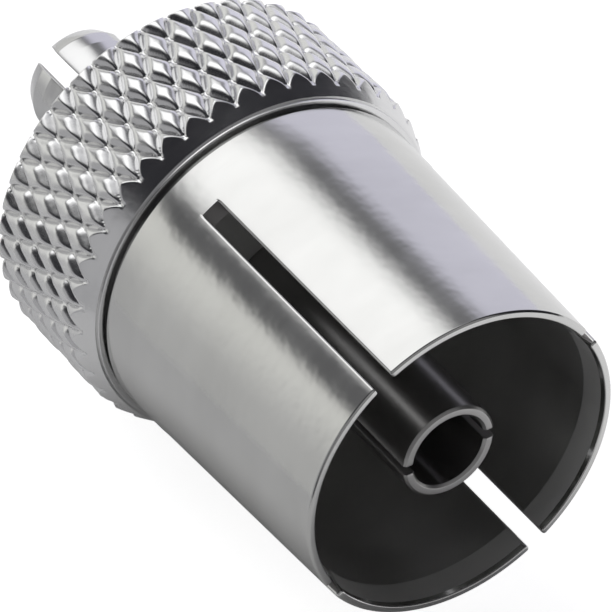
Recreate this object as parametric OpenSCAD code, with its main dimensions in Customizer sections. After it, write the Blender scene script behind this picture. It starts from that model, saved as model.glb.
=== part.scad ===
// Coaxial adapter: an aerial socket with a slotted sleeve at the front,
// a diamond-knurled grip ring, and a slotted MCX plug at the back.
// The common axis lies along X. The socket's mouth is at x = 0 and faces +X.
// Angles turn about the axis, from +Y towards +Z.

/* [Socket sleeve] */
// Bore that takes the mating plug's outer contact
sleeve_bore_d = 9.65; // [9.55:0.01:9.75]
// Wall at the mouth, behind its lead-in
mouth_wall = 0.375; // [0.3:0.005:0.5]
// Wall at the shoulder, where the outside's taper ends
shoulder_wall = 0.775; // [0.6:0.005:0.9]
// Length from the mouth to the shoulder
sleeve_len = 10.28; // [9.8:0.02:11]
// Chamfer on the outer edge of the mouth
rim_chamfer = 0.06; // [0.02:0.01:0.1]
// Radial flare of the lead-in at the mouth
lead_in_flare = 0.14; // [0.04:0.01:0.2]
// Length of the lead-in
lead_in_len = 0.9; // [0.4:0.05:1.5]
// Number of spring slots
sleeve_slots = 4; // [2:1:6]
// Width of a spring slot
sleeve_slot_w = 0.58; // [0.4:0.02:0.8]
// Length of a spring slot from the mouth
sleeve_slot_len = 8.74; // [7:0.02:9.2]
// Angle of the first spring slot
sleeve_slot_turn = 122; // [0:1:359]
// Wall of the spigot that is pressed into the grip ring
spigot_wall = 0.45; // [0.3:0.05:0.5]
// Length of the spigot behind the shoulder
spigot_len = 2.4; // [1.6:0.1:3]

/* [Socket centre contact] */
// Outside diameter of the contact
contact_d = 3.1; // [2.9:0.05:3.3]
// Bore that takes the mating centre pin
contact_bore_d = 2.4; // [2.3:0.02:2.5]
// Distance of the contact's front edge behind the mouth
contact_recess = 0.63; // [0.3:0.01:1.2]
// Depth of the bore
contact_bore_len = 8.2; // [7:0.1:8.6]
// Drill point angle at the bore's floor
drill_angle = 118; // [90:1:140]
// Edge break on the contact's front edges
contact_edge = 0.08; // [0.02:0.01:0.12]
// Width of the slit that splits the contact
contact_slit_w = 0.3; // [0.2:0.02:0.5]
// Length of the slit from the front edge
contact_slit_len = 5.5; // [3:0.1:7]
// Angle of the slit
contact_slit_turn = 182; // [0:1:359]
// Diameter of the contact's tail
contact_tail_d = 1.9; // [1.6:0.1:2.2]
// Length of the contact's tail
contact_tail_len = 1; // [0.6:0.1:1.4]

/* [Socket insulator] */
// Depth of the insulator's face behind the mouth
insulator_depth = 9.7; // [9.3:0.02:10]
// Edge break on the insulator's front edge
insulator_edge = 0.2; // [0.1:0.02:0.4]

/* [Grip ring] */
// Height of the knurl's teeth above the sleeve's shoulder
ring_step = 0.62; // [0.5:0.02:0.9]
// Length of the ring, with its collar
ring_len = 5.15; // [4.5:0.05:6]
// Parting gap between the sleeve's shoulder and the ring
parting_gap = 0.17; // [0.1:0.01:0.25]
// Height of the collar in front of the teeth, above the sleeve's shoulder
collar_step = 0.15; // [0.08:0.01:0.25]
// Length of the collar
collar_len = 0.1; // [0.05:0.01:0.2]
// Teeth around the ring
knurl_count = 42; // [36:1:48]
// Spacing of the rows of teeth along the ring
knurl_row = 0.915; // [0.8:0.005:1.1]
// Height of the teeth
knurl_depth = 0.22; // [0.1:0.01:0.3]
// Width of the flat on each tooth
knurl_flat = 0.16; // [0.08:0.02:0.24]
// Distance from the ring's front to the first crossing of the grooves
knurl_start = 0.55; // [0.1:0.05:0.8]
// Angle of the first tooth
knurl_turn = 1.74; // [0:0.02:8]
// Radial depth of the front chamfer, behind the collar
front_chamfer_depth = 0.4; // [0.2:0.02:0.46]
// Length of the front chamfer
front_chamfer_len = 0.8; // [0.4:0.05:1.2]
// Rear chamfer
rear_chamfer = 0.15; // [0.05:0.05:0.4]

/* [MCX plug shell] */
// Length from the ring's rear face to the finger tips
plug_len = 5.85; // [5.5:0.05:6.6]
// Diameter of the shank that is pressed into the ring
shank_d = 4.8; // [4.4:0.1:5.4]
// Bore of the shank
shank_bore_d = 3.8; // [3.4:0.1:4]
// Depth of the shank's bore in front of the ring's rear face
shank_bore_end = 0.6; // [0.4:0.1:1]
// Diameter of the stop flange
flange_d = 6; // [5.6:0.1:7]
// Thickness of the stop flange
flange_t = 0.8; // [0.6:0.1:1]
// Edge break on the flange
flange_edge = 0.12; // [0.05:0.01:0.2]
// Diameter of the spring fingers behind the bulge
finger_d = 3.44; // [3.4:0.02:3.5]
// Wall of the spring fingers
finger_wall = 0.3; // [0.22:0.02:0.34]
// Diameter over the snap bulge
bulge_d = 3.64; // [3.6:0.02:3.7]
// Length of the bulge's crest
crest_len = 0.5; // [0.3:0.05:0.6]
// Distance from the finger tips to the crest
crest_from_tip = 0.55; // [0.4:0.05:0.7]
// Length of the slope from the fingers up to the crest
bulge_slope_len = 0.7; // [0.4:0.05:1]
// Diameter at the finger tips
tip_d = 3.2; // [3.16:0.02:3.3]
// Number of slots between the fingers
finger_slots = 4; // [3:1:5]
// Width of a finger slot
finger_slot_w = 0.62; // [0.4:0.02:0.64]
// Length of a finger slot from the tips
finger_slot_len = 4.2; // [3.4:0.1:4.6]
// Angle of the first finger slot
finger_slot_turn = 131; // [0:1:359]

/* [MCX plug centre] */
// Diameter of the centre pin
pin_d = 0.5; // [0.46:0.01:0.54]
// Distance of the pin's nose behind the finger tips
pin_recess = 0.75; // [0.5:0.05:1]
// Length of the pin's tapered nose
pin_nose_len = 0.2; // [0.1:0.02:0.3]
// Diameter of the pin's shank
pin_shank_d = 0.9; // [0.8:0.02:1]
// Length of the shank seated in the contact's tail
pin_seat_len = 1.2; // [0.8:0.1:1.4]
// Depth of the plug's insulator behind the finger tips
plug_insulator_depth = 3.9; // [3.4:0.1:4.2]

/* [Fits] */
// Radial play left at each pressed seat
press_play = 0.01; // [0:0.005:0.03]

/* [Hidden] */

// Cuts run past the face that they open by this much
over = 1;

// Stations along the axis
shoulder_x = -sleeve_len;
ring_front_x = shoulder_x - parting_gap;
ring_rear_x = ring_front_x - ring_len;
collar_x = ring_front_x - collar_len;
seat_x = shoulder_x - spigot_len;
insulator_x = -insulator_depth;
contact_x = -contact_recess;
barrel_end_x = seat_x + contact_tail_len;
flange_rear_x = ring_rear_x - flange_t;
plug_tip_x = ring_rear_x - plug_len;
crest_rear_x = plug_tip_x + crest_from_tip;
crest_front_x = crest_rear_x + crest_len;
shank_step_x = ring_rear_x + shank_bore_end;
plug_insulator_x = plug_tip_x + plug_insulator_depth;
pin_tip_x = plug_tip_x + pin_recess;
pin_head_x = seat_x + pin_seat_len;

// Radii, from the socket's bore outwards
bore_r = sleeve_bore_d / 2;
mouth_r = bore_r + mouth_wall;
spigot_r = bore_r + spigot_wall;
shoulder_r = bore_r + shoulder_wall;
ring_r = shoulder_r + ring_step;
collar_r = shoulder_r + collar_step;
root_r = ring_r - knurl_depth;
contact_r = contact_d / 2;
contact_bore_r = contact_bore_d / 2;
tail_r = contact_tail_d / 2;
shank_r = shank_d / 2;
shank_bore_r = shank_bore_d / 2;
finger_r = finger_d / 2;
finger_bore_r = finger_r - finger_wall;
pin_r = pin_d / 2;
pin_shank_r = pin_shank_d / 2;

// Knurl lattice: grooves cross at its points, and each tooth stands amid four of them.
// Two rows beyond each end of the ring let its chamfers trim whole teeth.
spare_rows = 2;
knurl_pitch = 360 / knurl_count;
knurl_rows = ceil((ring_len - knurl_start) / knurl_row) + 2 * spare_rows;
first_row_x = ring_front_x - knurl_start + spare_rows * knurl_row;
flat_share = knurl_flat / (2 * PI * ring_r / knurl_count);

nickel = [0.72, 0.71, 0.69];
plated_contact = [0.78, 0.76, 0.72];
polymer = [0.86, 0.86, 0.83];

// A turned solid from a profile of [radius, x] points
module turned(profile) {
    rotate([0, 90, 0])
        rotate_extrude($fn = 144)
            polygon(profile);
}

// Radial slots of one width, spread evenly, from start_x forward over length
module slots(count, width, start_x, length, reach, turn) {
    for (k = [0:count - 1])
        rotate([turn + k * 360 / count, 0, 0])
            translate([start_x, 0, -width / 2])
                cube([length, reach, width]);
}

// A point at x, at angle a, at radius r
function around(x, a, r) = [x, r * cos(a), r * sin(a)];

function row_x(row) = first_row_x - row * knurl_row;

// Angle of a crossing: alternate rows are turned by half a pitch
function crossing_a(row, col) = knurl_turn + (col + (row % 2) / 2) * knurl_pitch;

// The four corners of a tooth's flat: front, right, rear and left
function flat_corners(row, col) =
    let (x = row_x(row),
         a = crossing_a(row - 1, col),
         dx = flat_share * knurl_row,
         da = flat_share * knurl_pitch / 2)
    [around(x + dx, a, ring_r), around(x, a + da, ring_r),
     around(x - dx, a, ring_r), around(x, a - da, ring_r)];

function crossing_id(row, col) = row * knurl_count + (col + knurl_count) % knurl_count;

function flat_id(row, col, corner) =
    (knurl_rows + 1) * knurl_count + ((row - 1) * knurl_count + col) * 4 + corner;

// The crossings round a tooth, in the order of its flat's corners
function tooth_base(row, col) =
    let (shift = row % 2)
    [crossing_id(row - 1, col), crossing_id(row, col + 1 - shift),
     crossing_id(row + 1, col), crossing_id(row, col - shift)];

// A bar whose whole outside is knurled
module knurled_bar() {
    cols = [0:knurl_count - 1];
    tooth_rows = [1:knurl_rows - 1];
    last_row = knurl_rows - 1;
    crossings = [for (row = [0:knurl_rows]) for (col = cols)
        around(row_x(row), crossing_a(row, col), root_r)];
    flats = [for (row = tooth_rows) for (col = cols) each flat_corners(row, col)];
    ends = [[row_x(0), 0, 0], [row_x(knurl_rows), 0, 0]];
    front_id = len(crossings) + len(flats);
    rear_id = front_id + 1;
    flanks = [for (row = tooth_rows) for (col = cols) for (k = [0:3])
        let (base = tooth_base(row, col),
             next = (k + 1) % 4,
             here = flat_id(row, col, k),
             there = flat_id(row, col, next))
        each [[base[k], base[next], there], [base[k], there, here]]];
    tops = [for (row = tooth_rows) for (col = cols)
        let (top = [for (k = [0:3]) flat_id(row, col, k)])
        each [[top[0], top[1], top[2]], [top[0], top[2], top[3]]]];
    front = [for (col = cols)
        let (base = tooth_base(1, col))
        each [[front_id, base[0], base[3]], [front_id, base[1], base[0]]]];
    rear = [for (col = cols)
        let (base = tooth_base(last_row, col))
        each [[rear_id, base[2], base[1]], [rear_id, base[3], base[2]]]];
    polyhedron(points = concat(crossings, flats, ends),
               faces = concat(flanks, tops, front, rear));
}

// The ring's turned blank: a collar and a seat for the sleeve in front, a hole for the shank behind.
// Its chamfers run on past the teeth, so the teeth keep their own height.
module ring_blank() {
    seat_r = spigot_r + press_play;
    hole_r = shank_r + press_play;
    clear_r = ring_r + over;
    face_r = ring_r - front_chamfer_depth;
    front_slope = front_chamfer_len / front_chamfer_depth;
    turned([[hole_r, seat_x],
            [seat_r, seat_x],
            [seat_r, ring_front_x],
            [collar_r, ring_front_x],
            [collar_r, collar_x],
            [face_r, collar_x],
            [clear_r, collar_x - (clear_r - face_r) * front_slope],
            [clear_r, ring_rear_x + rear_chamfer + over],
            [ring_r - rear_chamfer, ring_rear_x],
            [hole_r, ring_rear_x]]);
}

module knurled_ring() {
    color(nickel)
        intersection() {
            ring_blank();
            knurled_bar();
        }
}

module iec_sleeve() {
    color(nickel)
        difference() {
            turned([[bore_r + lead_in_flare, 0],
                    [mouth_r - rim_chamfer, 0],
                    [mouth_r, -rim_chamfer],
                    [shoulder_r, shoulder_x],
                    [spigot_r, shoulder_x],
                    [spigot_r, seat_x],
                    [bore_r, seat_x],
                    [bore_r, -lead_in_len]]);
            slots(sleeve_slots, sleeve_slot_w, -sleeve_slot_len, sleeve_slot_len + over,
                  shoulder_r + over, sleeve_slot_turn);
        }
}

// A stepped disc: the contact's shoulder rests on its rear web
module iec_insulator() {
    outer_r = bore_r - press_play;
    barrel_hole_r = contact_r + press_play;
    tail_hole_r = tail_r + press_play;
    color(polymer)
        turned([[barrel_hole_r, insulator_x],
                [outer_r - insulator_edge, insulator_x],
                [outer_r, insulator_x - insulator_edge],
                [outer_r, seat_x],
                [tail_hole_r, seat_x],
                [tail_hole_r, barrel_end_x],
                [barrel_hole_r, barrel_end_x]]);
}

// A split socket in front, and a tail with a seat for the plug's pin behind
module iec_contact() {
    floor_x = contact_x - contact_bore_len;
    drill_len = contact_bore_r / tan(drill_angle / 2);
    seat_r = pin_shank_r + press_play;
    color(plated_contact)
        difference() {
            turned([[0, floor_x - drill_len],
                    [contact_bore_r, floor_x],
                    [contact_bore_r, contact_x - contact_edge],
                    [contact_bore_r + contact_edge, contact_x],
                    [contact_r - contact_edge, contact_x],
                    [contact_r, contact_x - contact_edge],
                    [contact_r, barrel_end_x],
                    [tail_r, barrel_end_x],
                    [tail_r, seat_x],
                    [seat_r, seat_x],
                    [seat_r, pin_head_x],
                    [0, pin_head_x]]);
            slots(2, contact_slit_w, contact_x - contact_slit_len, contact_slit_len + over,
                  contact_r + over, contact_slit_turn);
        }
}

// A pressed shank, a stop flange, and slotted fingers with a snap bulge
module mcx_shell() {
    flange_r = flange_d / 2;
    bulge_r = bulge_d / 2;
    color(nickel)
        difference() {
            turned([[shank_bore_r, seat_x],
                    [shank_r, seat_x],
                    [shank_r, ring_rear_x],
                    [flange_r, ring_rear_x],
                    [flange_r, flange_rear_x + flange_edge],
                    [flange_r - flange_edge, flange_rear_x],
                    [finger_r, flange_rear_x],
                    [finger_r, crest_front_x + bulge_slope_len],
                    [bulge_r, crest_front_x],
                    [bulge_r, crest_rear_x],
                    [tip_d / 2, plug_tip_x],
                    [finger_bore_r, plug_tip_x],
                    [finger_bore_r, shank_step_x],
                    [shank_bore_r, shank_step_x]]);
            slots(finger_slots, finger_slot_w, plug_tip_x - over, finger_slot_len + over,
                  bulge_r + over, finger_slot_turn);
        }
}

// A stepped bush, held between the shell's step and the socket's insulator
module mcx_insulator() {
    hole_r = pin_shank_r + press_play;
    color(polymer)
        turned([[hole_r, seat_x],
                [shank_bore_r - press_play, seat_x],
                [shank_bore_r - press_play, shank_step_x],
                [finger_bore_r - press_play, shank_step_x],
                [finger_bore_r - press_play, plug_insulator_x],
                [hole_r, plug_insulator_x]]);
}

module mcx_pin() {
    color(plated_contact)
        turned([[0, pin_head_x],
                [pin_shank_r, pin_head_x],
                [pin_shank_r, plug_insulator_x],
                [pin_r, plug_insulator_x],
                [pin_r, pin_tip_x + pin_nose_len],
                [pin_r / 2, pin_tip_x],
                [0, pin_tip_x]]);
}

knurled_ring();
iec_sleeve();
iec_insulator();
iec_contact();
mcx_shell();
mcx_insulator();
mcx_pin();
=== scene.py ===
"""Looks of the coaxial adapter: fine turned meshes, plated and moulded finishes, and a plain pale studio."""

import math

import bmesh
import bpy
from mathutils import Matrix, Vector


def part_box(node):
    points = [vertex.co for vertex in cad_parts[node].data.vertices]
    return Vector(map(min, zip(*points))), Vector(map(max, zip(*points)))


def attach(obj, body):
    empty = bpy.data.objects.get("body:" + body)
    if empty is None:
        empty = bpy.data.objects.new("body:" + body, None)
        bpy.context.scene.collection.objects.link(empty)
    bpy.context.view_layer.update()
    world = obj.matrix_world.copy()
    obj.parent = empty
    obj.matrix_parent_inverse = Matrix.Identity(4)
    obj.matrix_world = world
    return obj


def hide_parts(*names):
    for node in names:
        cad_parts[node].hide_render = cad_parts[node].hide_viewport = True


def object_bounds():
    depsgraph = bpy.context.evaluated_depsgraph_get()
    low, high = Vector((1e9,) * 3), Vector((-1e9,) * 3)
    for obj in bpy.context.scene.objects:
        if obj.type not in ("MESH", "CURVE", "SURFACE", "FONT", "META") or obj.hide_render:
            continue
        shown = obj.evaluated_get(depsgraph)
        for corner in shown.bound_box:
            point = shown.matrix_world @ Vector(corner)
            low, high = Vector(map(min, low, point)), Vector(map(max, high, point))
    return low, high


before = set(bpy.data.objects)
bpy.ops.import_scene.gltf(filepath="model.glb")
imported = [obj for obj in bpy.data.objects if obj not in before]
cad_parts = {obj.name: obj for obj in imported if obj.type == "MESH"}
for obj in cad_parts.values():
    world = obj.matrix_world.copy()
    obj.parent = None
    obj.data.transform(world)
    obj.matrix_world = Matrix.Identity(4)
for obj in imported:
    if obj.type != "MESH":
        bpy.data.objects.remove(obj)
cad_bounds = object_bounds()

MM = 0.001
TURN = 2 * math.pi

# Sizes in millimetres and degrees. Stations along the axis come from the frame.
BORE_R = 4.825
MOUTH_R = 5.2
SHOULDER_R = 5.6
SPIGOT_R = 5.275
RIM_CHAMFER = 0.06
LEAD_IN_FLARE = 0.14
LEAD_IN_LEN = 0.9
SLEEVE_SLOTS = 4
SLEEVE_SLOT_W = 0.58
SLEEVE_SLOT_LEN = 8.74
SLEEVE_SLOT_TURN = 122
PARTING_GAP = 0.17

CONTACT_R = 1.55
CONTACT_BORE_R = 1.2
CONTACT_BORE_LEN = 8.2
CONTACT_EDGE = 0.08
DRILL_ANGLE = 118
SLITS = 2
SLIT_W = 0.3
SLIT_LEN = 5.5
SLIT_TURN = 182
TAIL_R = 0.95
TAIL_LEN = 1.0
INSULATOR_EDGE = 0.2

RING_R = 6.22
COLLAR_R = 5.75
COLLAR_LEN = 0.1
KNURL_COUNT = 42
KNURL_ROW = 0.915
KNURL_DEPTH = 0.22
KNURL_START = 0.55
KNURL_TURN = 1.74
FRONT_CHAMFER_DEPTH = 0.4
FRONT_CHAMFER_LEN = 0.8
REAR_CHAMFER = 0.15

# Powers that crown the teeth and that merge their crossing grooves
KNURL_CROWN = 3.0
KNURL_BLEND = 2.5

SHANK_R = 2.4
SHANK_BORE_R = 1.9
SHANK_BORE_END = 0.6
FLANGE_R = 3.0
FLANGE_T = 0.8
FLANGE_EDGE = 0.12
FINGER_R = 1.72
FINGER_WALL = 0.3
BULGE_R = 1.82
BULGE_SLOPE_LEN = 0.7
BULGE_EDGE = 0.25
CREST_LEN = 0.5
CREST_FROM_TIP = 0.55
TIP_R = 1.6
FINGERS = 4
FINGER_SLOT_W = 0.62
FINGER_SLOT_LEN = 4.2
FINGER_SLOT_TURN = 131
PIN_R = 0.25
PIN_SHANK_R = 0.45
PIN_NOSE_LEN = 0.2
PRESS_PLAY = 0.01

# Rounding of turned edges, of the edges left by the slitting saw and of the ring's chamfers
FINE_EDGE = 0.03
SOFT_EDGE = 0.06
SLOT_EDGE = 0.09
CHAMFER_ROUND = 0.02

# Steps of the meshes: columns around a piece, a land, a gap and a finger, and steps over an edge or a tooth
COLUMNS = 192
BUSH_COLUMNS = 96
PIN_COLUMNS = 64
LAND_COLUMNS = 48
FINGER_COLUMNS = 24
GAP_COLUMNS = 4
SLOT_EDGE_STEPS = 4
CORNER_STEPS = 4
SEAT_CORNER_STEPS = 2
CORNER_SHARE = 0.45
TOOTH_STEPS = 10
CHAMFER_SUBSTEPS = 4
SHARP_ANGLE = 35
KNURL_SHARP_ANGLE = 50
MERGE_DISTANCE = 1e-8
TINY = 1e-6


def axial(node):
    """Rear and front stations of a CAD node, in millimetres."""
    low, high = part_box(node)
    return low.x / MM, high.x / MM


RING_REAR, RING_FRONT = axial("knurled_ring")
SEAT_X, MOUTH_X = axial("iec_sleeve")
INSULATOR_X = axial("iec_insulator")[1]
CONTACT_X = axial("iec_contact")[1]
PLUG_TIP_X = axial("mcx_shell")[0]
BUSH_X = axial("mcx_insulator")[0]
PIN_TIP_X, PIN_HEAD_X = axial("mcx_pin")
SHOULDER_X = RING_FRONT + PARTING_GAP


def rounded(profile, edge, steps=CORNER_STEPS):
    """Closed profile with its corners eased. A third value at a corner is that corner's own easing."""
    eased = []
    for k, (r, x, *own) in enumerate(profile):
        here = Vector((r, x))
        back = Vector(profile[k - 1][:2]) - here
        ahead = Vector(profile[(k + 1) % len(profile)][:2]) - here
        size = own[0] if own else edge
        if size == 0 or r == 0:
            eased.append((r, x))
            continue
        reach = size / math.tan(back.angle(ahead) / 2)
        reach = min(reach, CORNER_SHARE * back.length, CORNER_SHARE * ahead.length)
        start = here + back.normalized() * reach
        end = here + ahead.normalized() * reach
        for step in range(steps + 1):
            t = step / steps
            point = start * (1 - t) ** 2 + here * 2 * t * (1 - t) + end * t * t
            eased.append((point.x, point.y))
    return eased


def split(profile, station):
    """The profile with a point added wherever it crosses a station along the axis."""
    points = []
    for k, (r, x) in enumerate(profile):
        points.append((r, x))
        r_next, x_next = profile[(k + 1) % len(profile)]
        if (x - station) * (x_next - station) < 0:
            share = (station - x) / (x_next - x)
            points.append((r + share * (r_next - r), station))
    return points


def inset_directions(profile):
    """Unit steps into the profile's material at each of its points."""
    count = len(profile)
    area = sum(
        profile[k - 1][0] * profile[k][1] - profile[k][0] * profile[k - 1][1] for k in range(count)
    )
    side = 1 if area > 0 else -1
    steps = []
    for k in range(count):
        r0, x0 = profile[k - 1]
        r1, x1 = profile[(k + 1) % count]
        along = Vector((r1 - r0, x1 - x0)).normalized()
        steps.append((-along.y * side, along.x * side))
    return steps


def place(r, x, angle):
    """Point in metres at a radius, a station and an angle about the axis."""
    return Vector((x, r * math.cos(angle), r * math.sin(angle))) * MM


def finish_mesh(name, mesh, sharp_angle=SHARP_ANGLE):
    """A smooth-shaded object from a bmesh, with edges sharper than an angle left crisp."""
    bmesh.ops.remove_doubles(mesh, verts=mesh.verts, dist=MERGE_DISTANCE)
    bmesh.ops.recalc_face_normals(mesh, faces=mesh.faces)
    data = bpy.data.meshes.new(name)
    mesh.to_mesh(data)
    mesh.free()
    data.shade_smooth()
    data.set_sharp_from_angle(angle=math.radians(sharp_angle))
    piece = bpy.data.objects.new(name, data)
    bpy.context.scene.collection.objects.link(piece)
    weighted = piece.modifiers.new("weighted_normals", "WEIGHTED_NORMAL")
    weighted.keep_sharp = True
    return piece


def turned(name, profile, columns=COLUMNS):
    """A solid turned about the axis from a closed profile of (radius, x) points."""
    mesh = bmesh.new()
    grid = [
        [mesh.verts.new(place(r, x, TURN * c / columns)) for r, x in profile] for c in range(columns)
    ]
    for c in range(columns):
        near, far = grid[c - 1], grid[c]
        for k in range(len(profile)):
            if profile[k - 1][0] > 0 or profile[k][0] > 0:
                mesh.faces.new((near[k - 1], near[k], far[k], far[k - 1]))
    return finish_mesh(name, mesh)


def slotted(name, profile, count, width, floor, opens, turn, edge, columns=LAND_COLUMNS):
    """A turned solid with saw slots from one end to a floor station; opens is +1 for slots towards +X."""
    behind = floor - opens * edge
    for station in (behind, floor, floor + opens * edge):
        profile = split(profile, station)
    first = next(k for k, (r, x) in enumerate(profile) if (x - behind) * opens < -edge)
    profile = profile[first:] + profile[:first]
    inwards = inset_directions(profile)
    cut = [(x - floor) * opens > TINY for r, x in profile]
    on_floor = [k for k, (r, x) in enumerate(profile) if abs(x - floor) <= TINY]
    inner_r = min(r for (r, x), is_cut in zip(profile, cut) if is_cut)
    quarter = math.pi / 2
    mesh = bmesh.new()
    sawn_and_shaded = mesh.faces.layers.float.new("sawn_and_shaded")

    def edge_angle(r, t):
        lateral = width / 2 + edge * (1 - math.sin(t))
        return math.asin(lateral / max(r, inner_r))

    def edge_column(centre, side, t):
        column = []
        for (r, x), (dr, dx), is_cut in zip(profile, inwards, cut):
            depth = edge * (1 - math.cos(t)) if is_cut else 0
            r, x = r + dr * depth, x + dx * depth
            column.append(mesh.verts.new(place(r, x, centre + side * edge_angle(r, t))))
        return column

    def land_column(centre, share):
        column = []
        for r, x in profile:
            start = centre + edge_angle(r, 0)
            end = centre + TURN / count - edge_angle(r, 0)
            column.append(mesh.verts.new(place(r, x, start + share * (end - start))))
        return column

    def gap_column(centre, share):
        column = []
        for (r, x), is_cut in zip(profile, cut):
            angle = centre + (2 * share - 1) * edge_angle(r, quarter)
            column.append(None if is_cut else mesh.verts.new(place(r, x, angle)))
        return column

    ring = []
    for k in range(count):
        centre = math.radians(turn) + TURN * k / count
        for step in range(SLOT_EDGE_STEPS + 1):
            kind = "open" if step == 0 else "land"
            ring.append((kind, edge_column(centre, 1, quarter * (1 - step / SLOT_EDGE_STEPS))))
        for step in range(1, columns):
            ring.append(("land", land_column(centre, step / columns)))
        ahead = centre + TURN / count
        for step in range(SLOT_EDGE_STEPS + 1):
            ring.append(("land", edge_column(ahead, -1, quarter * step / SLOT_EDGE_STEPS)))
        for step in range(1, GAP_COLUMNS):
            ring.append(("open", gap_column(ahead, step / GAP_COLUMNS)))

    for c in range(len(ring)):
        near, (kind, far) = ring[c - 1][1], ring[c]
        across = kind == "open"
        for k in range(len(profile)):
            if across and (cut[k - 1] or cut[k]):
                continue
            if profile[k - 1][0] > 0 or profile[k][0] > 0:
                mesh.faces.new((near[k - 1], near[k], far[k], far[k - 1]))
        if across:
            a, b = on_floor[0], on_floor[-1]
            mesh.faces.new((near[a], near[b], far[b], far[a]))[sawn_and_shaded] = 1
    wall = list(range(on_floor[0], on_floor[-1] + 1))
    for c in range(len(ring)):
        kind, column = ring[c]
        ahead_kind = ring[(c + 1) % len(ring)][0]
        starts_land = kind == "open" and ahead_kind == "land"
        ends_land = kind == "land" and ahead_kind == "open"
        if starts_land or ends_land:
            mesh.faces.new([column[k] for k in wall])[sawn_and_shaded] = 1
    return finish_mesh(name, mesh)


def soft_min(a, b, width):
    """The smaller of two values, with a rounded change over a width."""
    share = max(0.0, min(1.0, 0.5 + 0.5 * (b - a) / width))
    return b + (a - b) * share - width * share * (1 - share)


def knurled(name):
    """The grip ring: a lattice of crossing grooves over a turned blank with a collar, a seat and a hole."""
    pitch = TURN / KNURL_COUNT
    face_r = RING_R - FRONT_CHAMFER_DEPTH
    seat_r = SPIGOT_R + PRESS_PLAY
    hole_r = SHANK_R + PRESS_PLAY
    collar_x = RING_FRONT - COLLAR_LEN
    crossing_x = RING_FRONT - KNURL_START
    columns = 2 * KNURL_COUNT * TOOTH_STEPS
    turn = math.radians(KNURL_TURN)

    def groove(value):
        return (1 - 2 * abs(value - round(value))) ** KNURL_CROWN

    def radius(x, angle):
        around = (angle - turn) / pitch
        along = (crossing_x - x) / (2 * KNURL_ROW)
        one, other = groove(around - along), groove(around + along)
        drop = (one**KNURL_BLEND + other**KNURL_BLEND) ** (1 / KNURL_BLEND)
        tooth = RING_R - KNURL_DEPTH * min(1.0, drop)
        front = face_r + (collar_x - x) * FRONT_CHAMFER_DEPTH / FRONT_CHAMFER_LEN
        rear = RING_R - REAR_CHAMFER + (x - RING_REAR)
        return soft_min(soft_min(tooth, front, CHAMFER_ROUND), rear, CHAMFER_ROUND)

    step = KNURL_ROW / TOOTH_STEPS
    substep = step / CHAMFER_SUBSTEPS
    stations = [collar_x]
    chamfer_end = collar_x - FRONT_CHAMFER_LEN
    rear_start = RING_REAR + 2 * REAR_CHAMFER
    while stations[-1] - substep > RING_REAR:
        near_edge = stations[-1] > chamfer_end or stations[-1] < rear_start
        stations.append(stations[-1] - (substep if near_edge else step))
    stations[-1] = RING_REAR
    mesh = bmesh.new()
    angles = [turn + TURN * c / columns for c in range(columns)]
    heights = [[radius(x, a) for a in angles] for x in stations]
    rows = [
        [mesh.verts.new(place(r, x, a)) for r, a in zip(row, angles)]
        for row, x in zip(heights, stations)
    ]
    flat_r = RING_R - REAR_CHAMFER - KNURL_DEPTH
    inner = rounded(
        [
            (flat_r, RING_REAR, 0),
            (hole_r, RING_REAR),
            (hole_r, SEAT_X),
            (seat_r, SEAT_X),
            (seat_r, RING_FRONT),
            (COLLAR_R, RING_FRONT),
            (COLLAR_R, collar_x, 0),
        ],
        FINE_EDGE,
        SEAT_CORNER_STEPS,
    )
    for r, x in inner:
        rows.append([mesh.verts.new(place(r, x, a)) for a in angles])
    for k in range(len(rows)):
        near, far = rows[k - 1], rows[k]
        for c in range(columns):
            quad = (near[c - 1], near[c], far[c], far[c - 1])
            if 0 < k < len(stations):
                low = heights[k - 1][c - 1] + heights[k][c] < heights[k - 1][c] + heights[k][c - 1]
                first, second = ((0, 1, 2), (0, 2, 3)) if low else ((0, 1, 3), (1, 2, 3))
                mesh.faces.new([quad[i] for i in first])
                mesh.faces.new([quad[i] for i in second])
            else:
                mesh.faces.new(quad)
    return finish_mesh(name, mesh, KNURL_SHARP_ANGLE)


sleeve_profile = rounded(
    [
        (BORE_R + LEAD_IN_FLARE, MOUTH_X),
        (MOUTH_R - RIM_CHAMFER, MOUTH_X),
        (MOUTH_R, MOUTH_X - RIM_CHAMFER),
        (SHOULDER_R, SHOULDER_X, FINE_EDGE),
        (SPIGOT_R, SHOULDER_X, FINE_EDGE),
        (SPIGOT_R, SEAT_X),
        (BORE_R, SEAT_X),
        (BORE_R, MOUTH_X - LEAD_IN_LEN),
    ],
    SOFT_EDGE,
)
sleeve = slotted(
    "sleeve",
    sleeve_profile,
    SLEEVE_SLOTS,
    SLEEVE_SLOT_W,
    MOUTH_X - SLEEVE_SLOT_LEN,
    1,
    SLEEVE_SLOT_TURN,
    SLOT_EDGE,
)

barrel_end = SEAT_X + TAIL_LEN
socket_disc = turned(
    "socket_disc",
    rounded(
        [
            (CONTACT_R + PRESS_PLAY, INSULATOR_X),
            (BORE_R - PRESS_PLAY - INSULATOR_EDGE, INSULATOR_X),
            (BORE_R - PRESS_PLAY, INSULATOR_X - INSULATOR_EDGE),
            (BORE_R - PRESS_PLAY, SEAT_X),
            (TAIL_R + PRESS_PLAY, SEAT_X),
            (TAIL_R + PRESS_PLAY, barrel_end),
            (CONTACT_R + PRESS_PLAY, barrel_end),
        ],
        FINE_EDGE,
    ),
)

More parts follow.
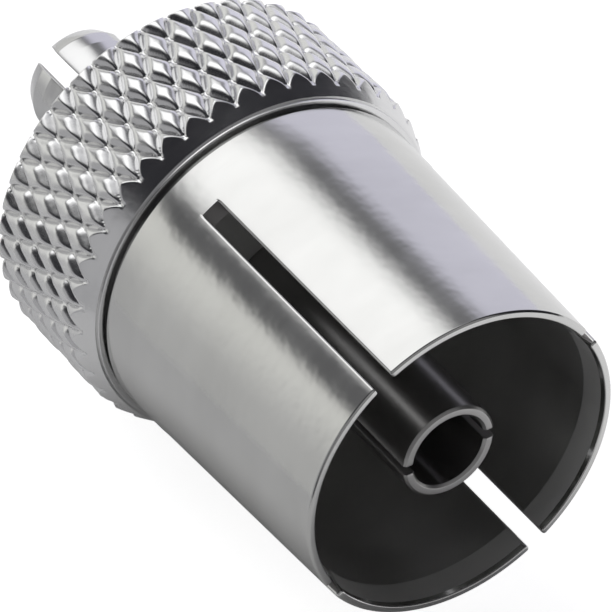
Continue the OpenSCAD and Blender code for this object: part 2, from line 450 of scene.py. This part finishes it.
bore_floor = CONTACT_X - CONTACT_BORE_LEN
drill_len = CONTACT_BORE_R / math.tan(math.radians(DRILL_ANGLE / 2))
pin_seat_r = PIN_SHANK_R + PRESS_PLAY
contact_profile = rounded(
    [
        (0, bore_floor - drill_len),
        (CONTACT_BORE_R, bore_floor),
        (CONTACT_BORE_R, CONTACT_X - CONTACT_EDGE),
        (CONTACT_BORE_R + CONTACT_EDGE, CONTACT_X),
        (CONTACT_R - CONTACT_EDGE, CONTACT_X),
        (CONTACT_R, CONTACT_X - CONTACT_EDGE),
        (CONTACT_R, barrel_end),
        (TAIL_R, barrel_end),
        (TAIL_R, SEAT_X),
        (pin_seat_r, SEAT_X),
        (pin_seat_r, PIN_HEAD_X),
        (0, PIN_HEAD_X),
    ],
    FINE_EDGE,
)
contact = slotted(
    "contact", contact_profile, SLITS, SLIT_W, CONTACT_X - SLIT_LEN, 1, SLIT_TURN, FINE_EDGE
)

crest_rear = PLUG_TIP_X + CREST_FROM_TIP
crest_front = crest_rear + CREST_LEN
flange_rear = RING_REAR - FLANGE_T
shank_step = RING_REAR + SHANK_BORE_END
finger_bore_r = FINGER_R - FINGER_WALL
shell_profile = rounded(
    [
        (SHANK_BORE_R, SEAT_X),
        (SHANK_R, SEAT_X),
        (SHANK_R, RING_REAR),
        (FLANGE_R, RING_REAR),
        (FLANGE_R, flange_rear + FLANGE_EDGE),
        (FLANGE_R - FLANGE_EDGE, flange_rear),
        (FINGER_R, flange_rear),
        (FINGER_R, crest_front + BULGE_SLOPE_LEN, BULGE_EDGE),
        (BULGE_R, crest_front, BULGE_EDGE),
        (BULGE_R, crest_rear, BULGE_EDGE),
        (TIP_R, PLUG_TIP_X, SOFT_EDGE),
        (finger_bore_r, PLUG_TIP_X),
        (finger_bore_r, shank_step),
        (SHANK_BORE_R, shank_step),
    ],
    FINE_EDGE,
)
shell = slotted(
    "plug_shell",
    shell_profile,
    FINGERS,
    FINGER_SLOT_W,
    PLUG_TIP_X + FINGER_SLOT_LEN,
    -1,
    FINGER_SLOT_TURN,
    FINE_EDGE,
    FINGER_COLUMNS,
)

bush = turned(
    "plug_bush",
    rounded(
        [
            (pin_seat_r, SEAT_X),
            (SHANK_BORE_R - PRESS_PLAY, SEAT_X),
            (SHANK_BORE_R - PRESS_PLAY, shank_step),
            (finger_bore_r - PRESS_PLAY, shank_step),
            (finger_bore_r - PRESS_PLAY, BUSH_X),
            (pin_seat_r, BUSH_X),
        ],
        FINE_EDGE,
    ),
    BUSH_COLUMNS,
)
pin = turned(
    "plug_pin",
    rounded(
        [
            (0, PIN_HEAD_X),
            (PIN_SHANK_R, PIN_HEAD_X),
            (PIN_SHANK_R, BUSH_X),
            (PIN_R, BUSH_X),
            (PIN_R, PIN_TIP_X + PIN_NOSE_LEN, SOFT_EDGE),
            (PIN_R / 2, PIN_TIP_X, SOFT_EDGE),
            (0, PIN_TIP_X),
        ],
        FINE_EDGE,
    ),
    PIN_COLUMNS,
)
grip = knurled("grip_ring")

# Colour sockets of a Mix node, and a noise's usual range and middle
MIX_FACTOR = 0
MIX_UNDER = 6
MIX_OVER = 7
MIX_RESULT = 2
NOISE_RANGE = (0.3, 0.7)
NOISE_MIDDLE = 0.5


class Graph:
    """Short calls for building a node tree."""

    def __init__(self, tree):
        self.tree = tree
        tree.nodes.clear()

    def add(self, kind, inputs=None, **settings):
        node = self.tree.nodes.new(kind)
        for name, value in settings.items():
            setattr(node, name, value)
        for name, value in (inputs or {}).items():
            if isinstance(value, bpy.types.NodeSocket):
                self.tree.links.new(value, node.inputs[name])
            else:
                node.inputs[name].default_value = value
        return node

    def math(self, operation, *values):
        inputs = dict(enumerate(values))
        return self.add("ShaderNodeMath", inputs, operation=operation).outputs[0]

    def length(self, a, b):
        squares = self.math("ADD", self.math("MULTIPLY", a, a), self.math("MULTIPLY", b, b))
        return self.math("SQRT", squares)

    def spread(self, value, low, high, to_low, to_high, kind="LINEAR"):
        inputs = {"Value": value, "From Min": low, "From Max": high, "To Min": to_low, "To Max": to_high}
        return self.add("ShaderNodeMapRange", inputs, interpolation_type=kind).outputs["Result"]

    def where(self):
        """The object's own coordinates as x, y and z."""
        point = self.add("ShaderNodeTexCoord").outputs["Object"]
        return self.add("ShaderNodeSeparateXYZ", {"Vector": point}).outputs

    def noise(self, scale, detail=2.0, rough=0.5):
        """Noise over the object's own coordinates, with a scale for each axis."""
        point = self.add("ShaderNodeTexCoord").outputs["Object"]
        vector = self.add("ShaderNodeMapping", {"Vector": point, "Scale": scale}).outputs["Vector"]
        inputs = {"Vector": vector, "Scale": 1.0, "Detail": detail, "Roughness": rough}
        return self.add("ShaderNodeTexNoise", inputs).outputs["Fac"]

    def bump(self, height, distance, normal=None):
        inputs = {"Height": height, "Distance": distance, "Strength": 1.0}
        if normal is not None:
            inputs["Normal"] = normal
        return self.add("ShaderNodeBump", inputs).outputs["Normal"]

    def ramp(self, factor, dark, light):
        """A colour that goes from dark to light over a noise's usual range."""
        node = self.add("ShaderNodeValToRGB", {"Fac": factor})
        for element, position, colour in zip(node.color_ramp.elements, NOISE_RANGE, (dark, light)):
            element.position = position
            element.color = (*colour, 1)
        return node.outputs["Color"]

    def layered(self, colour, mask, tint):
        """The colour so far with a tint laid over it where the mask is set."""
        under = (*colour, 1) if isinstance(colour, tuple) else colour
        inputs = {MIX_FACTOR: mask, MIX_UNDER: under, MIX_OVER: (*tint, 1)}
        return self.add("ShaderNodeMix", inputs, data_type="RGBA").outputs[MIX_RESULT]


def material(name):
    made = bpy.data.materials.new(name)
    made.use_nodes = True
    return made, Graph(made.node_tree)


# Scales of the finishes' textures along X, Y and Z, per metre
PATCH_SCALE = (600, 300, 300)
TOOL_SCALE = (9000, 160, 160)
WAVE_SCALE = (2400, 2400, 2400)
SPECK_SCALE = (12000, 12000, 12000)
MOULD_PATCH_SCALE = (900, 900, 900)
MOULD_SPECK_SCALE = (7000, 7000, 7000)

# Share of the tool lines in the gloss, and the range of patches and lines together
TOOL_IN_GLOSS = 0.3
GLOSS_RANGE = (0.4, 0.9)

# Sawn faces, which are rougher and carry a darker colour that is painted shade in the slots, and the
# socket's duller bore with its lead-in, which starts over a fade in millimetres
SAWN_PAINTED_SHADE = (0.4, 0.39, 0.39)
SAWN_ROUGHER = 0.25
BORE_ROUGH = 0.4
BORE_MOTTLE = 0.3
LEAD_IN_ROUGH = 0.62
LEAD_IN_FADE = 0.01


def plated(name, dark, light, rough, lines, waves, grain, inside=None):
    """Plated turned brass: tool lines round the axis, shallow waves, fine grain, patchy gloss.

    lines, waves and grain are bump heights in metres. inside gives the radius of a duller bore and its
    lead-in's station, in millimetres.
    """
    made, graph = material(name)
    patch = graph.noise(PATCH_SCALE, detail=3.0)
    tool = graph.noise(TOOL_SCALE, rough=0.6)
    wave = graph.noise(WAVE_SCALE, detail=1.0)
    speck = graph.noise(SPECK_SCALE)
    sawn_and_shaded = graph.add("ShaderNodeAttribute", attribute_name="sawn_and_shaded").outputs["Fac"]
    # Painted shade: the sawn slot faces get a darker grey that stands in for the shade in the slots; their
    # extra roughness is real.
    colour = graph.layered(graph.ramp(patch, dark, light), sawn_and_shaded, SAWN_PAINTED_SHADE)
    gloss = graph.math("ADD", patch, graph.math("MULTIPLY", tool, TOOL_IN_GLOSS))
    roughness = graph.spread(gloss, *GLOSS_RANGE, *rough)
    roughness = graph.math("MULTIPLY_ADD", sawn_and_shaded, SAWN_ROUGHER, roughness)
    if inside is not None:
        bore_r, lead_in_x = inside
        x, y, z = graph.where()
        in_bore = graph.math("LESS_THAN", graph.length(y, z), bore_r * MM)
        fade_end = lead_in_x + LEAD_IN_FADE
        dull = graph.spread(x, lead_in_x * MM, fade_end * MM, BORE_ROUGH, LEAD_IN_ROUGH)
        mottle = graph.math("MULTIPLY", graph.math("SUBTRACT", patch, NOISE_MIDDLE), BORE_MOTTLE)
        dull = graph.math("ADD", dull, mottle)
        change = graph.math("MULTIPLY", in_bore, graph.math("SUBTRACT", dull, roughness))
        roughness = graph.math("ADD", roughness, change)
    normal = graph.bump(wave, waves)
    normal = graph.bump(tool, lines, normal)
    normal = graph.bump(speck, grain, normal)
    shader = graph.add(
        "ShaderNodeBsdfPrincipled",
        {"Metallic": 1.0, "Base Color": colour, "Roughness": roughness, "Normal": normal},
    )
    graph.add("ShaderNodeOutputMaterial", {"Surface": shader.outputs["BSDF"]})
    return made


def moulded(name, dark, light, rough, grain):
    """Matt polymer with a fine grain and patchy colour and gloss."""
    made, graph = material(name)
    patch = graph.noise(MOULD_PATCH_SCALE, detail=4.0)
    speck = graph.noise(MOULD_SPECK_SCALE, detail=3.0)
    shader = graph.add(
        "ShaderNodeBsdfPrincipled",
        {
            "Base Color": graph.ramp(patch, dark, light),
            "Roughness": graph.spread(speck, *NOISE_RANGE, *rough),
            "Normal": graph.bump(speck, grain),
        },
    )
    graph.add("ShaderNodeOutputMaterial", {"Surface": shader.outputs["BSDF"]})
    return made


sleeve_nickel = plated(
    "sleeve_nickel",
    dark=(0.60, 0.60, 0.59),
    light=(0.66, 0.66, 0.65),
    rough=(0.10, 0.18),
    lines=2e-7,
    waves=5e-6,
    grain=2e-7,
    inside=(BORE_R + LEAD_IN_FLARE - FINE_EDGE, MOUTH_X - LEAD_IN_LEN),
)
ring_nickel = plated(
    "ring_nickel",
    dark=(0.75, 0.75, 0.755),
    light=(0.81, 0.81, 0.81),
    rough=(0.17, 0.27),
    lines=3e-7,
    waves=7e-6,
    grain=6e-7,
)
# Painted shade: the contact's nickel is darker than the other plating, standing in for the shade deep in the
# socket.
contact_nickel = plated(
    "contact_nickel",
    dark=(0.38, 0.375, 0.37),
    light=(0.44, 0.435, 0.43),
    rough=(0.30, 0.38),
    lines=3e-7,
    waves=2e-6,
    grain=2e-7,
)
plug_nickel = plated(
    "plug_nickel",
    dark=(0.62, 0.62, 0.62),
    light=(0.68, 0.68, 0.68),
    rough=(0.12, 0.20),
    lines=6e-7,
    waves=4e-6,
    grain=3e-7,
)
pin_gold = plated(
    "pin_plating",
    dark=(0.72, 0.55, 0.26),
    light=(0.80, 0.62, 0.32),
    rough=(0.20, 0.30),
    lines=8e-7,
    waves=3e-6,
    grain=3e-7,
)
# Painted shade: the socket insulator is darker than its own colour, standing in for the shade deep in the
# socket.
socket_polymer = moulded(
    "socket_polymer",
    dark=(0.28, 0.28, 0.275),
    light=(0.34, 0.34, 0.33),
    rough=(0.45, 0.60),
    grain=3e-6,
)
plug_ptfe = moulded(
    "plug_ptfe",
    dark=(0.70, 0.70, 0.68),
    light=(0.78, 0.78, 0.76),
    rough=(0.40, 0.55),
    grain=2e-6,
)

PIECES = (
    (grip, "knurled_ring", "ring_nickel", ring_nickel),
    (sleeve, "iec_sleeve", "sleeve_nickel", sleeve_nickel),
    (socket_disc, "iec_insulator", "socket_polymer", socket_polymer),
    (contact, "iec_contact", "contact_nickel", contact_nickel),
    (shell, "mcx_shell", "plug_nickel", plug_nickel),
    (bush, "mcx_insulator", "plug_ptfe", plug_ptfe),
    (pin, "mcx_pin", "pin_plating", pin_gold),
)
for piece, stands_for, slot, finish in PIECES:
    piece.data.materials.append(finish)
    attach(piece, "root")
    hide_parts(stands_for)


# Studio: soft panels in the world, as azimuth, half width, top, softness (degrees) and colour.
# Azimuths run from +X towards +Y, and a later panel lies over the earlier ones.
ROOM = (0.15, 0.15, 0.155)
PANELS = (
    # Bright ceiling behind the part, and a grey gap under it
    (128, 30, 80, 8, (0.92, 0.92, 0.94)),
    (135, 32, 57, 5, (0.22, 0.22, 0.23)),
    # Dark front, with a dim fill in its middle
    (-5, 112, 90, 8, (0.02, 0.02, 0.024)),
    (0, 50, 52, 8, (0.30, 0.298, 0.302)),
    # Pale wall behind and to the left, greyer near the floor
    (172, 67, 25, 4, (0.88, 0.88, 0.85)),
    (172, 67, 4, 14, (0.52, 0.52, 0.52)),
    # Bluish panel behind the part, and two low grey ones to its left
    (130, 22, 36, 6, (0.81, 0.80, 0.92)),
    (-106, 15, 19, 7, (0.40, 0.40, 0.41)),
    (-78, 14, 27, 6, (0.46, 0.46, 0.47)),
)
SOFTBOX_AZIMUTH = 190
SOFTBOX_ELEVATION = 55
SOFTBOX_REACH = 21
SOFTBOX_SOFTNESS = 10
SOFTBOX_COLOUR = (1.45, 1.45, 1.45)
WHITE = (1, 1, 1, 1)

# Floor, in metres: its reach, its left edge, and where its painted reflection glow fades to the left and, as
# painted shade, under the part
FLOOR_REACH = 3.0
FLOOR_LEFT = -0.018
FLOOR_FADE = 0.008
SHADE_NEAR = 0.003
SHADE_FAR = 0.010

# The floor's paper, the glow that makes it read white to the camera, and a painted reflection glow that only
# the mirroring plating sees, dimmer on the left
FLOOR_PAPER = (0.88, 0.88, 0.88, 1)
CAMERA_LIFT = 0.84
MIRROR_LIFT_LEFT = 0.17
MIRROR_LIFT_RIGHT = 0.55


def compass(azimuth, elevation):
    """Unit direction from an azimuth, from +X towards +Y, and an elevation, in degrees."""
    around, up = math.radians(azimuth), math.radians(elevation)
    return Vector((math.cos(around) * math.cos(up), math.sin(around) * math.cos(up), math.sin(up)))


def studio_world():
    """Panels that light the part and show in its plating, and plain white to the camera."""
    world = bpy.data.worlds.new("studio")
    bpy.context.scene.world = world
    world.use_nodes = True
    graph = Graph(world.node_tree)
    ray = graph.add("ShaderNodeTexCoord").outputs["Generated"]
    x, y, z = graph.add("ShaderNodeSeparateXYZ", {"Vector": ray}).outputs
    azimuth = graph.math("ARCTAN2", y, x)
    elevation = graph.math("ARCSINE", z)
    colour = ROOM
    for centre, half, top, soft, tint in PANELS:
        half, top, soft = math.radians(half), math.radians(top), math.radians(soft)
        away = graph.math("SUBTRACT", azimuth, math.radians(centre))
        away = graph.math("ABSOLUTE", graph.math("WRAP", away, math.pi, -math.pi))
        across = graph.spread(away, half - soft, half + soft, 1.0, 0.0, "SMOOTHSTEP")
        upward = graph.spread(elevation, top - soft, top + soft, 1.0, 0.0, "SMOOTHSTEP")
        colour = graph.layered(colour, graph.math("MULTIPLY", across, upward), tint)
    towards = compass(SOFTBOX_AZIMUTH, SOFTBOX_ELEVATION)
    facing = graph.add("ShaderNodeVectorMath", {0: ray, 1: towards}, operation="DOT_PRODUCT")
    outer = math.cos(math.radians(SOFTBOX_REACH + SOFTBOX_SOFTNESS))
    inner = math.cos(math.radians(SOFTBOX_REACH - SOFTBOX_SOFTNESS))
    lit = graph.spread(facing.outputs["Value"], outer, inner, 0.0, 1.0, "SMOOTHSTEP")
    colour = graph.layered(colour, lit, SOFTBOX_COLOUR)
    panels = graph.add("ShaderNodeBackground", {"Color": colour, "Strength": 1.0})
    white = graph.add("ShaderNodeBackground", {"Color": WHITE, "Strength": 1.0})
    path = graph.add("ShaderNodeLightPath")
    seen = graph.math("MAXIMUM", path.outputs["Is Camera Ray"], path.outputs["Is Transmission Ray"])
    shader = graph.add("ShaderNodeMixShader", {0: seen, 1: panels.outputs[0], 2: white.outputs[0]})
    graph.add("ShaderNodeOutputWorld", {"Surface": shader.outputs[0]})


def pale_floor():
    """A pale sheet that reads as white and keeps a soft shadow."""
    low, high = cad_bounds
    mesh = bmesh.new()
    corners = [(-1, FLOOR_LEFT), (1, FLOOR_LEFT), (1, FLOOR_REACH), (-1, FLOOR_REACH)]
    mesh.faces.new([mesh.verts.new((u * FLOOR_REACH, v, low[2])) for u, v in corners])
    data = bpy.data.meshes.new("floor")
    mesh.to_mesh(data)
    mesh.free()
    piece = bpy.data.objects.new("floor", data)
    bpy.context.scene.collection.objects.link(piece)
    made, graph = material("floor_paper")
    path = graph.add("ShaderNodeLightPath")
    # Painted reflection: a glow seen only in the plating, dimmer to the left, with painted shade where it
    # fades out under and beside the part.
    mirrored = graph.math("MAXIMUM", path.outputs["Is Glossy Ray"], path.outputs["Is Transmission Ray"])
    x, y, z = graph.where()
    before = graph.math("SUBTRACT", x, high[0])
    beyond = graph.math("SUBTRACT", low[0], x)
    along = graph.math("MAXIMUM", graph.math("MAXIMUM", before, beyond), 0.0)
    clear = graph.spread(graph.length(along, y), SHADE_NEAR, SHADE_FAR, 0.0, 1.0, "SMOOTHSTEP")
    painted_glow_by_side = graph.spread(
        y, -FLOOR_FADE, FLOOR_FADE, MIRROR_LIFT_LEFT, MIRROR_LIFT_RIGHT, "SMOOTHSTEP"
    )
    mirrored = graph.math("MULTIPLY", graph.math("MULTIPLY", mirrored, painted_glow_by_side), clear)
    lift = graph.math("MULTIPLY_ADD", path.outputs["Is Camera Ray"], CAMERA_LIFT, mirrored)
    paper = graph.add("ShaderNodeBsdfDiffuse", {"Color": FLOOR_PAPER})
    glow = graph.add("ShaderNodeEmission", {"Color": WHITE, "Strength": lift})
    shader = graph.add("ShaderNodeAddShader", {0: paper.outputs[0], 1: glow.outputs[0]})
    graph.add("ShaderNodeOutputMaterial", {"Surface": shader.outputs[0]})
    data.materials.append(made)


# Camera: aimed at a point on the adapter, from the front and above
AIM = Vector((-9.248, 0.665, -1.016)) * MM
DISTANCE = 161.25 * MM
CAMERA_AZIMUTH = -32.72
CAMERA_ELEVATION = 40.37
LENS = 319.65
SENSOR = 36
CLIP_RATIO = 100


def camera():
    data = bpy.data.cameras.new("camera")
    data.lens = LENS
    data.sensor_width = SENSOR
    data.clip_start = DISTANCE / CLIP_RATIO
    data.clip_end = DISTANCE * CLIP_RATIO
    eye = bpy.data.objects.new("camera", data)
    back = compass(CAMERA_AZIMUTH, CAMERA_ELEVATION)
    eye.location = AIM + back * DISTANCE
    eye.rotation_euler = back.to_track_quat("Z", "Y").to_euler()
    bpy.context.scene.collection.objects.link(eye)
    bpy.context.scene.camera = eye


studio_world()
pale_floor()
camera()
bpy.context.scene.view_settings.view_transform = "Standard"
